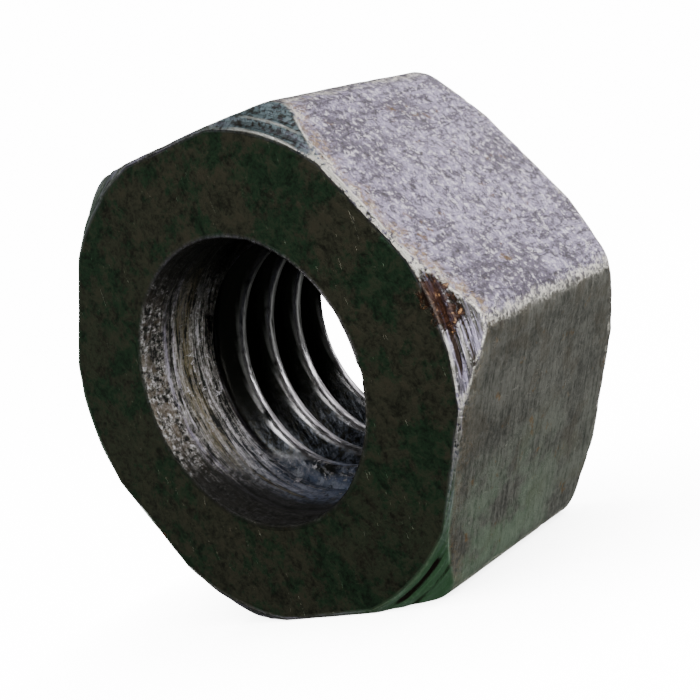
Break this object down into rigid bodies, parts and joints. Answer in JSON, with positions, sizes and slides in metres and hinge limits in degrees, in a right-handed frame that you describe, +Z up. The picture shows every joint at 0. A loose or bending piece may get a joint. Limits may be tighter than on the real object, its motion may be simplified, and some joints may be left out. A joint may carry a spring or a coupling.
{
  "type": "hex nut",
  "caption": "High hex nut with chamfered corners, a plain entry bore and a right-hand internal thread, standing on one wrench flat.",
  "frame": {"origin": "middle of the lower wrench flat, on the surface that the nut stands on", "axes": "+X across the corners, +Y along the thread from the entry bore to the far face, +Z up, across the flats"},
  "size_m": [0.0146, 0.0074, 0.013],
  "materials": {
    "steel": "worn, dark and slightly oxidised, with bright edges"
  },
  "bodies": {
    "root": {"nut_body": "steel"}
  },
  "joints": []
}
